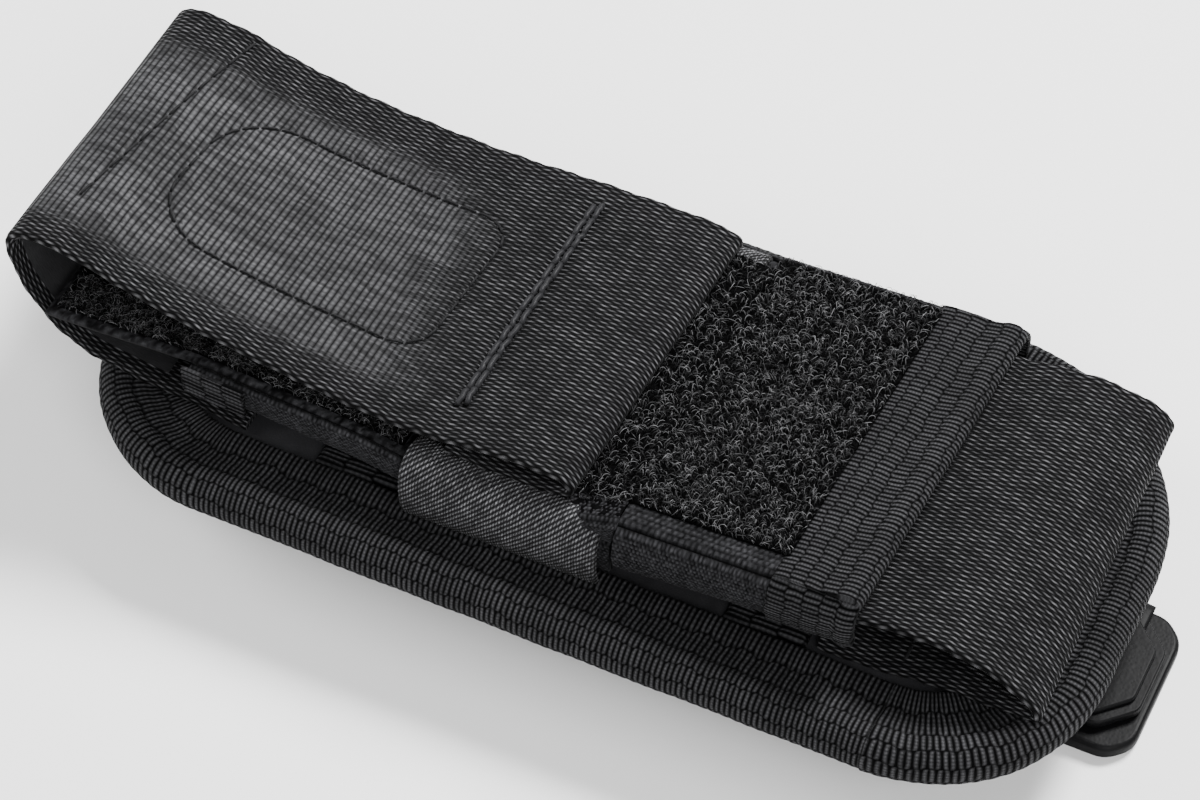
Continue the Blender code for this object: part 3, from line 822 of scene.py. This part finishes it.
def make_panel_face():
    """Stiff panel covered in smooth nylon; its edge goes into the binding."""
    steps = [(5.3, 12.6), (5.3, 14.6), (6.0, 14.75)] + [(d, 14.75) for d in np.arange(8.0, 23.5, 1.0)]
    back = [(d, 12.45) for d in np.arange(23.0, 6.0, -2.0)]
    section = np.array(steps + back)
    p, n, _, _ = edge_line(23.0, 480)
    x = p[:, None, 0] - n[:, None, 0] * (section[None, :, 0] - 23.0)
    y = p[:, None, 1] - n[:, None, 1] * (section[None, :, 0] - 23.0)
    top = (section[None, :, 1] > 13.5) & (section[None, :, 0] > 7.0)
    z = section[None, :, 1] + 0 * x + top * 0.25 * (noise(x, y, 8.0) - 0.5)
    rings = np.stack([x, y, z], -1)
    weave = np.stack([x, y, 0.45 + 0.3 * noise(x, y, 1.3)], -1)
    face = loft("panel_cloth", rings, weave, cyclic=True)
    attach(dress(face, SMOOTH, "nylon_cloth", "back_panel"), "sheath")
    middle = np.linspace(-44, 60, 60)
    across = np.linspace(-17.5, 14.5, 24)
    plate = shell(
        "panel_middle", middle, across, across[::4],
        lambda a, b, h: np.stack([a, b, 14.70 + h], -1),
        lambda a, b: np.stack([a, b, 12.45 + 0 * a], -1),
        lambda a, b: 0.08 * noise(a, b, 3.0),
    )
    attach(dress(plate, SMOOTH, "nylon_cloth"), "sheath")


def cross_tape(name, x0, x1, node):
    """Grosgrain tape sewn flat across the panel; its ribs run along X and are cut into rows by stitching."""
    y0, y1, z, thick, rows, pitch = -25.8, 25.8, 14.9, 0.7, 3, 1.15
    a = np.linspace(x0, x1, max(4, int((x1 - x0) / 0.25)))
    b = np.linspace(y0, y1, max(4, int((y1 - y0) / 0.2)))
    width = (x1 - x0) / rows

    def height(x, y):
        f = (x - x0) / width - np.floor((x - x0) / width - 1e-6)
        k = np.floor((x - x0) / width - 1e-6)
        h = ribs(y + 0.5 * pitch * k, x, pitch, 0.08) + 0.1 * (1 - np.abs(2 * f - 1) ** 5)
        rim = np.minimum(np.minimum(x - x0, x1 - x), np.minimum(y - y0, y1 - y))
        return h - 0.35 * np.exp(-rim / 0.25)

    ob = shell(
        name, a, b, b[::8],
        lambda x, y, h: np.stack([x, y, z + thick + h], -1),
        lambda x, y: np.stack([x, y, z + 0 * x], -1),
        height,
        lambda x, y: (y, (x - x0) / width),
    )
    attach(dress(ob, RIB, "grosgrain", node), "sheath")


def turned(ob, x_mid):
    """Turns a piece made along X so that it runs along Y at station x_mid."""
    ob.data.transform(Matrix.Translation(((x_mid - FX) * MM, 0, 0)) @ Matrix.Rotation(radians(90), 4, "Z")
                      @ Matrix.Translation((FX * MM, 0, 0)))
    return ob


def make_rear():
    """Three webbing rows across the back, raised round the clip's inner leaf and bartacked."""
    c = CLIP_Y
    points = [(24.4, 11.0), (c + 17.5, 10.9), (c + 14.6, 9.2), (c + 12.2, 7.2), (c + 8, 7.0), (c, 7.0),
              (c - 8, 7.0), (c - 12.2, 7.2), (c - 14.6, 9.2), (c - 17.5, 10.9), (-24.4, 11.0)]
    row = Ribbon(points, 12.7, 1.1)
    for place, x0 in (("top", -43.5), ("middle", -4.8), ("bottom", 34.0)):
        name, node = "rear_row_" + place, "rear_webbing_" + place
        ob = turned(strap(name, row, 0, row.length, 0.4, web_height(12.7), pitch=0.6), x0 + 12.7)
        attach(dress(ob, WEB, "webbing", node), "sheath")
        lines = []
        for y in (22.6, c + 18.6, c - 18.6, -22.6):
            s = row.s_at(y)
            path = np.array([(s, -11.4), (s, 11.4)])
            lines += stitch_lines(path, lambda r, lift: row.point(r[:, 0], r[:, 1], lift), 1.6)
        ob = turned(threads(name + "_bartacks", lines, 0.26), x0 + 12.7)
        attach(dress(ob, THREAD, "webbing"), "sheath")


# ---------------------------------------------------------------- front panel

FRONT_HALF = 26.7
FRONT = Ribbon(
    [(-67.8, 26.7), (-60.0, 26.5), (-45.0, 26.1), (-25.0, 24.9), (-12.0, 24.0), (2.0, 23.9), (16.7, 24.0)],
    FRONT_HALF, 1.0,
)
END = Ribbon([(17.3, 26.5, 2.1), (30.0, 27.1, 2.0), (41.0, 27.6, 2.0), (52.0, 27.8, 2.1)], FRONT_HALF, 1.8)


def side_wall(name, node, sign, x0, x1, top, bottom, body, bulge=0.5, flare=0.0):
    """Turned-down side of stretch knit between top(x) and bottom(x), bulging a little outwards."""
    a = np.linspace(x0, x1, int((x1 - x0) / 0.16))
    t = np.linspace(0, 1, 60)

    def outer(x, u, h):
        z = top(x) - sign * front_tilt(x) + (bottom(x) - top(x)) * u
        round_off = 0.7 * np.maximum(0, 2 * np.abs(u - 0.5) - 0.84) / 0.16
        y = 27.9 + bulge * np.sin(pi * u) + flare * u + h - round_off
        return np.stack([x, sign * y, z], -1)

    def inner(x, u):
        z = top(x) - sign * front_tilt(x) + (bottom(x) - top(x)) * (0.04 + 0.92 * u)
        return np.stack([x, sign * (27.0 + bulge * np.sin(pi * u) + flare * u), z], -1)

    ob = shell(name, a, t, t[::5], outer, inner, lambda x, u: knit(x, u * 8.0, 0.62, 0.16))
    on_body(dress(ob, KNIT, "nylon_cloth", *([node] if node else [])), body)


def fuzz(name, count, surface, x0, x1, y0, y1, height, body, seed, size=1.0):
    """Curled loops of the loop fastener standing on surface(x, y)."""
    rng = np.random.default_rng(seed)
    lines = []
    for _ in range(count):
        x, y = rng.uniform(x0, x1), rng.uniform(y0, y1)
        turn = rng.uniform(0, 2 * pi)
        curl = rng.uniform(-2.6, 2.6)
        rise = height * rng.uniform(0.55, 1.15)
        span = size * rng.uniform(0.9, 1.9)
        t = np.linspace(0, 1, 6)
        heading = turn + curl * t
        px = x + span / 5 * np.concatenate([[0], np.cumsum(np.cos(heading[:-1]))])
        py = y + span / 5 * np.concatenate([[0], np.cumsum(np.sin(heading[:-1]))])
        pz = rise * np.sin(pi * np.clip(t * rng.uniform(0.75, 1.1), 0, 1)) ** 0.7 - 0.1
        base = surface(np.clip(px, x0 - 0.4, x1 + 0.4), np.clip(py, y0 - 0.4, y1 + 0.4))
        line = base.copy()
        line[:, 2] += pz
        lines.append(line)
    # Painted glints: a few fibres, chosen at random, get a much lighter base colour, as if catching the light.
    ob = threads(name, lines, 0.034 * size, 3, painted_glint=rng.random(count) ** 4.5)
    on_body(dress(ob, FIBRE, "loop_fastener"), body)


def on_body(ob, body):
    """Lets a front piece ride its body; a piece of the lead is left fixed where it was built.

    The free end is drawn in, more on the near side.
    """
    if body == "lead":
        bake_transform(ob)
        return
    if body == "front_end":
        co = np.empty(len(ob.data.vertices) * 3, np.float32)
        ob.data.vertices.foreach_get("co", co)
        co = co.reshape(-1, 3)
        x, y = co[:, 0] / MM + FX, co[:, 1] / MM
        shift = np.interp(x, [20, 30, 41, 54], [0.0, -0.5, -1.6, -2.0])
        shift = shift + np.interp(x, [20, 30, 41, 54], [0.0, -0.2, -0.7, -0.8]) * -y / FRONT_HALF
        co[:, 0] += shift * MM
        ob.data.vertices.foreach_set("co", co.ravel())
        ob.data.update()
    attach(ob, body)


def on_end(x, y, lift):
    return END.point(END.s_at(x), y, lift)


def on_lead(x, y, lift):
    """Surface of the loop patch where it runs on under the flap, over the elastic."""
    z = np.interp(x, [3.0, 11.0, 17.4], [25.4, 25.6, 26.5])
    z = z - y / FRONT_HALF * np.interp(x, [3.0, 11.0, 17.4], [0.4, 0.7, 2.1])
    x, y, z = np.broadcast_arrays(x, y, z + lift)
    return np.stack([x, y, z], -1)


def near_lift(x):
    """Upward curl of the front panel's near edge, in mm, along the sheath."""
    return np.interp(x, [-66, -55, -45, -20, -12, 4], [0.6, 1.6, 2.6, 2.0, 0.7, 0.2])


def on_front(x, y, lift):
    p = FRONT.point(FRONT.s_at(x), y, lift)
    p[..., 2] += front_tilt(p[..., 0]) * -p[..., 1] / FRONT_HALF
    p[..., 2] += near_lift(p[..., 0]) * (np.maximum(0, -p[..., 1]) / FRONT_HALF) ** 4
    return p


def make_front():
    """Fixed upper part of the front panel: cloth, stiffener, loop patch, sides and the bindings at the mouth."""
    a = np.linspace(-67.8, 16.7, 300)
    b = np.linspace(-26.7, 26.7, 90)
    cloth_top = shell(
        "front_cloth", a, b, b[::9],
        lambda x, y, h: on_front(x, y, h - 0.3 * np.maximum(0, np.abs(y) / 26.7 - 0.975) / 0.025),
        lambda x, y: on_front(x, y, -0.9),
        lambda x, y: 0.10 * noise(x, y, 0.4),
    )
    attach(dress(cloth_top, KNIT, "nylon_cloth", "front_panel"), "sheath")
    stiff = shell(
        "front_stiffener_sheet",
        np.linspace(-68.3, 16.5, 80), np.linspace(-25.6, 25.6, 30), np.linspace(-25.6, 25.6, 8),
        lambda x, y, h: on_front(x, y, -1.15),
        lambda x, y: on_front(x, y, -1.8),
        lambda x, y: 0.0 * x,
    )
    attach(dress(stiff, SHEET, "stiffener_plastic", "front_stiffener"), "sheath")
    pile = shell(
        "upper_loop_base",
        np.linspace(-66.5, -14.5, 150), np.linspace(-25.4, 25.4, 130), np.linspace(-25.4, 25.4, 8),
        lambda x, y, h: on_front(x, y, 0.25 + h),
        lambda x, y: on_front(x, y, 0.02),
        lambda x, y: 0.5 * noise(x, y, 0.45),
    )
    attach(dress(pile, FUZZ, "loop_fastener", "loop_patch_upper"), "sheath")
    face = lambda x, y: on_front(x, y, 0.5)
    fuzz("upper_loop_pile", 5200, face, -66.3, -15.0, -25.4, -19.5, 0.9, "sheath", 3)
    fuzz("upper_loop_pile_middle", 4800, face, -66.3, -15.0, -19.8, 21.2, 1.0, "sheath", 8, 1.3)
    fuzz("upper_loop_pile_far", 3000, face, -66.3, -15.0, 21.0, 25.2, 0.9, "sheath", 4)
    low = lambda x: np.interp(x, [-45, -17, 16.7], [22.7, 20.4, 17.8])
    high = lambda x: np.interp(x, [-45, -25, -12, 16.7], [25.7, 24.7, 23.9, 23.9])
    for side, sign in (("near", -1), ("far", 1)):
        up = near_lift if sign < 0 else (lambda x: 0 * x)
        side_wall("side_cloth_" + side, "side_wall_" + side, sign, -45.0, 16.7, lambda x: high(x) + up(x),
                  lambda x: low(x) + 0.8 * up(x), "sheath", 0.35)
        raised = 1.7 if sign < 0 else 0.0

        def mouth_height(x, u, top, drop):
            return top + raised - drop * u - 0.05 * (x + 45) + up(x) * (1 - 0.2 * u)

        mouth = shell(
            "mouth_tape_" + side, np.linspace(-45.8, -36.5, 40), np.linspace(0, 1, 50), np.linspace(0, 1, 8),
            lambda x, u, h: np.stack([x, sign * (27.9 + 0.5 * raised + h), mouth_height(x, u, 24.6, 4.4)], -1),
            lambda x, u: np.stack([x, sign * (27.45 + 0.5 * raised + 0 * x), mouth_height(x, u, 24.5, 4.2)], -1),
            lambda x, u: ribs(u * 5.0, x, 1.0, 0.12),
            lambda x, u: (u * 5.0, (x + 45.8) / 3.1),
        )
        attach(dress(mouth, RIB, "grosgrain", "mouth_binding_" + side), "sheath")


def make_band():
    """Elastic band: over the front panel and down both sides to the panel."""
    half, low, high = 29.3, 16.4, 25.1
    path = [(-half + 0.4, low), (-half - 0.3, 18.5), (-half - 0.5, 21.5), (-half - 0.1, 24.6),
            (-half + 1.3, 26.2), (-26.2, 26.7), (-24.2, 26.2), (-19.5, high + 0.2), (0.0, high + 0.1),
            (20.0, high), (25.2, 24.7), (27.2, 23.3), (28.2, 21.5), (29.0, 18.5), (28.9, low)]
    band = Ribbon(path, 14.4, 1.0)

    def height(s, v):
        edge = np.clip((np.abs(v) - 13.6) / 0.8, 0, 1)
        h = checker(s, v, 1.05, 0.24)
        return h * (1 - 0.4 * edge) + 0.12 * edge * (0.5 + 0.5 * np.cos(2 * pi * s / 1.0))

    ob = strap("elastic_cloth", band, 0, band.length, 0.2, height, pitch=0.3)
    turned(ob, 1.1)
    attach(dress(ob, STRETCH, "elastic_knit", "elastic_band"), "sheath")


def make_front_end():
    """Free lower end of the front panel, and the fixed lead of its loop patch."""
    a = np.linspace(17.3, 52.6, 150)
    b = np.linspace(-26.9, 26.9, 220)
    base = shell(
        "end_cloth", a, b, b[::20],
        lambda x, y, h: on_end(x, y, h - 0.5 * np.maximum(0, np.abs(y) / 26.9 - 0.97) / 0.03),
        lambda x, y: on_end(x, y, -1.3),
        lambda x, y: knit(x, y, 0.9, 0.18),
    )
    on_body(dress(base, KNIT, "nylon_cloth", "front_end"), "front_end")
    pile = shell(
        "lower_loop_base",
        np.linspace(17.5, 42.0, 110), np.linspace(-23.4, 26.2, 180), np.linspace(-23.4, 26.2, 8),
        lambda x, y, h: on_end(x, y, 0.2 + h),
        lambda x, y: on_end(x, y, 0.0),
        lambda x, y: 0.55 * noise(x, y, 0.4),
    )
    on_body(dress(pile, FUZZ, "loop_fastener", "loop_patch_lower"), "front_end")
    lead = shell(
        "lower_loop_lead",
        np.linspace(3.0, 17.4, 70), np.linspace(-26.4, 24.0, 200), np.linspace(-26.4, 24.0, 8),
        lambda x, y, h: on_lead(x, y, 0.2 + h),
        lambda x, y: on_lead(x, y, -0.2),
        lambda x, y: 0.5 * noise(x, y, 0.4),
    )
    on_body(dress(lead, FUZZ, "loop_fastener"), "lead")
    strip = shell(
        "lead_edge",
        np.linspace(3.0, 17.4, 100), np.linspace(-27.7, -23.4, 40), np.linspace(-27.7, -23.4, 5),
        lambda x, y, h: on_lead(x, y, 0.35 + h - 0.9 * np.maximum(0, -y - 26.5) ** 2),
        lambda x, y: on_lead(x, y, -0.6 - 0.5 * (y < -27)),
        lambda x, y: knit(x, y, 0.62, 0.16),
    )
    on_body(dress(strip, KNIT, "nylon_cloth"), "lead")
    side_wall("lead_side", None, -1, 5.0, 17.2, lambda x: on_lead(x, -27.0, -0.4)[..., 2] - front_tilt(x),
              lambda x: 24.4 + 0 * x, "lead", 0.2)
    fuzz("lower_loop_pile_lead", 4400, lambda x, y: on_lead(x, y, 0.4), 3.2, 17.3, -23.9, 23.8, 0.9, "lead", 7)
    face = lambda x, y: on_end(x, y, 0.45)
    fuzz("lower_loop_pile_a", 5600, face, 17.6, 41.6, -23.2, 1.0, 1.0, "front_end", 5)
    fuzz("lower_loop_pile_b", 5600, face, 17.6, 41.6, 0.0, 26.0, 1.0, "front_end", 6)
    for side, sign in (("near", -1), ("far", 1)):
        side_wall("end_side_" + side, "end_wall_" + side, sign, 17.4, 52.6, end_high, end_low, "front_end",
                  bulge=0.9, flare=0.3)
    make_end_binding()


def end_low(x):
    """Height of the lower edge of the free end's sides."""
    return np.interp(x, [17.4, 29, 40, 52.8], [18.2, 19.6, 20.7, 21.6])


def end_high(x):
    """Height of the upper edge of the free end's sides."""
    return np.interp(x, [17.4, 30, 41, 52.8], [25.9, 26.4, 26.8, 27.0])


def make_end_binding():
    """Grosgrain over the end: flat tape, then a rolled rim; it wraps down both sides."""
    y = np.linspace(-27.2, 27.2, 330)
    t = np.linspace(0, 1, 60)
    section = np.array([(41.3, 0.15), (43.5, 0.45), (46.4, 0.5), (48.2, 0.3), (49.6, 0.55), (50.4, 0.8),
                        (51.2, 1.1), (52.4, 1.15), (53.4, 0.6), (53.7, -0.3), (53.4, -1.5)])
    fine = catmull(section, 7)
    u = np.concatenate([[0], np.cumsum(np.hypot(*np.diff(fine, axis=0).T))])
    tangent = np.gradient(fine, u, axis=0)
    normal = np.stack([-tangent[:, 1], tangent[:, 0]], 1)
    normal /= np.linalg.norm(normal, axis=1)[:, None]
    Y, U = np.meshgrid(y, u, indexing="ij")
    bounds = np.array([0.0, 2.2, 4.4, 6.8, 9.2, 11.9, 14.6, u[-1] + 1])
    row = np.searchsorted(bounds, U, side="right") - 1
    f = (U - bounds[row]) / (bounds[row + 1] - bounds[row])
    rib = (0.5 + 0.5 * np.cos(2 * pi * (Y / 1.6 + 0.5 * row))) ** 1.3
    h = 0.07 * rib + 0.12 * (1 - np.abs(2 * f - 1) ** 5) + 0.15 * (noise(Y, U, 3.0) - 0.5)
    h = np.where(U > u[-1] - 0.8, h * 0.4, h)
    d = np.interp(U, u, fine[:, 0]) + np.interp(U, u, normal[:, 0]) * h
    lift = np.interp(U, u, fine[:, 1]) + np.interp(U, u, normal[:, 1]) * h
    top = END.point(END.s_at(np.minimum(d, 52.0)), Y, 0.0)
    outer = np.stack([d, Y, top[..., 2] + lift], -1)
    Yb, Ub = np.meshgrid(y, np.linspace(u[-1], 0, 9)[1:-1], indexing="ij")
    db = np.minimum(np.interp(Ub, u, fine[:, 0]), 52.4)
    tb = END.point(END.s_at(np.minimum(db, 52.0)), Yb, -0.2)
    inner = np.stack([db, Yb, tb[..., 2]], -1)
    weave = np.concatenate([np.stack([Y, row + f, 0 * U + 1], -1), np.stack([Yb, Ub / 3.0, 0 * Ub], -1)], 1)
    tape = loft("end_tape", np.concatenate([outer, inner], 1), weave)
    on_body(dress(tape, RIB, "grosgrain", "end_binding"), "front_end")
    for side, sign in (("near", -1), ("far", 1)):
        rows = np.array([41.3, 45.0, 48.8, 50.6, 53.7])

        def height(x, t):
            k = np.clip(np.searchsorted(rows, x, side="right") - 1, 0, 3)
            g = (x - rows[k]) / (rows[k + 1] - rows[k])
            rib = (0.5 + 0.5 * np.cos(2 * pi * (t * 7.0 / 0.95 + 0.5 * k))) ** 1.3
            rim = (x > 50.6) * np.sin(pi * np.clip((x - 50.6) / 3.1, 0, 1))
            return 0.06 * rib + 0.1 * (1 - np.abs(2 * g - 1) ** 5) + 0.35 * rim

        def outer_face(x, t, h, sign=sign):
            z = end_high(x) + 0.9 - sign * front_tilt(x) + (end_low(x) - 0.3 - end_high(x) - 0.9) * t
            yy = 28.3 + 0.8 * np.sin(pi * t) + 0.3 * t + h - 1.2 * (1 - t) ** 6
            return np.stack([x, sign * yy, z], -1)

        def inner_face(x, t, sign=sign):
            z = end_high(x) + 0.8 - sign * front_tilt(x) + (end_low(x) - end_high(x) - 0.9) * t
            yy = 27.3 + 0.8 * np.sin(pi * t) + 0.3 * t - 0.8 * (1 - t) ** 6
            return np.stack([x, sign * yy, z], -1)

        ob = shell("end_tape_side_" + side, np.linspace(41.3, 53.7, 60), t, t[::7], outer_face, inner_face,
                   height, lambda x, t: (t * 9.5, (x - 41.3) / 2.5))
        on_body(dress(ob, RIB, "grosgrain"), "front_end")


# ---------------------------------------------------------------- belt clip

def moulding(name, outline, low, high, edge, flat=True):
    """Moulded solid with rounded edges: a plan outline between two heights, or (x, z) points between two y."""
    bm = bmesh.new()
    if flat:
        points = [(x, y, low) for x, y in outline]
        rise = Vector((0, 0, high - low)) * MM
    else:
        points = [(x, low, z) for x, z in outline]
        rise = Vector((0, high - low, 0)) * MM
    face = bm.faces.new([bm.verts.new(((x - FX) * MM, y * MM, z * MM)) for x, y, z in points])
    grown = bmesh.ops.extrude_face_region(bm, geom=[face])["geom"]
    moved = [g for g in grown if isinstance(g, bmesh.types.BMVert)]
    bmesh.ops.translate(bm, verts=moved, vec=rise)
    bmesh.ops.recalc_face_normals(bm, faces=bm.faces[:])
    sharp = [e for e in bm.edges if e.calc_face_angle(0.0) > 0.6]
    bmesh.ops.bevel(bm, geom=sharp, offset=edge * MM, segments=4, profile=0.5, affect="EDGES",
                    clamp_overlap=True)
    mesh = bpy.data.meshes.new(name)
    bm.to_mesh(mesh)
    bm.free()
    for poly in mesh.polygons:
        poly.use_smooth = poly.area < 4e-6
    ob = bpy.data.objects.new(name, mesh)
    bpy.context.scene.collection.objects.link(ob)
    return ob


def chamfered(x0, x1, half_w, cut, round_r):
    """Plate outline with its two far corners cut, and the cut's own corners softly rounded."""
    y = CLIP_Y
    sharp = [(x1 - cut, y - half_w), (x1, y - half_w + cut), (x1, y + half_w - cut), (x1 - cut, y + half_w)]
    out = [(x0, y - half_w)]
    ring = [(x0, y - half_w)] + sharp + [(x0, y + half_w)]
    for k in range(1, 5):
        a, b, c = (np.array(ring[k + d]) for d in (-1, 0, 1))
        ra = b + (a - b) / np.linalg.norm(a - b) * round_r
        rc = b + (c - b) / np.linalg.norm(c - b) * round_r
        for t in np.linspace(0, 1, 6):
            out.append(tuple((1 - t) ** 2 * ra + 2 * t * (1 - t) * b + t * t * rc))
    out.append((x0, y + half_w))
    return out


def make_clip():
    """Belt clip on the back, whose tip shows beyond the panel's bottom end."""
    leaf = moulding("clip_leaf_plate", chamfered(-51.0, 85.3, 12.0, 3.0, 1.7), 0.0, 2.4, 0.75)
    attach(dress(leaf, PLASTIC, "clip_plastic", "clip_outer_leaf"), "clip_leaf")
    angles = [radians(a) for a in range(70, 291, 20)]
    around = [(-60.0 + 3.4 * cos(a), 4.6 + 3.4 * sin(a)) for a in angles]
    profile = around + [(-50.6, 0.2), (-50.6, 2.2), (-55.0, 4.6)]
    knuckle = moulding("clip_leaf_knuckle", profile, CLIP_Y - 8, CLIP_Y + 8, 0.4, flat=False)
    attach(dress(knuckle, PLASTIC, "clip_plastic"), "clip_leaf")
    arm = [(68.8, 10.3), (72.5, 10.2), (74.9, 9.0), (77.0, 6.6), (79.0, 4.9), (80.6, 4.5)]
    rib = Ribbon(arm, 8.2, 1.9)
    ob = strap("clip_latch_arm", rib, 0, rib.length, 0.5, lambda s, v: 0.0 * s, pitch=1.6)
    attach(dress(ob, PLASTIC, "clip_plastic", "clip_latch"), "clip_latch")
    base = moulding("clip_latch_base", chamfered(77.5, 84.3, 9.6, 4.4, 1.0), 2.75, 4.1, 0.3)
    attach(dress(base, PLASTIC, "clip_plastic"), "clip_latch")
    ledge = moulding("clip_latch_tongue", chamfered(76.9, 83.2, 8.5, 4.2, 0.8), 3.6, 4.9, 0.35)
    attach(dress(ledge, PLASTIC, "clip_plastic"), "clip_latch")
    for node in ("clip_inner_leaf", "clip_ear_near", "clip_ear_far", "clip_pin"):
        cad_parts[node].data.materials.clear()
        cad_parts[node].data.materials.append(PLASTIC)


def main():
    """Camera, studio and every piece."""
    make_camera()
    make_studio()
    make_panel()
    make_panel_face()
    cross_tape("cross_tape_a", -28.0, -15.0, "cross_tape_upper")
    cross_tape("cross_tape_b", 32.0, 43.5, "cross_tape_lower")
    make_rear()
    make_front()
    make_band()
    make_front_end()
    make_flap()
    make_bottom()
    make_clip()


main()
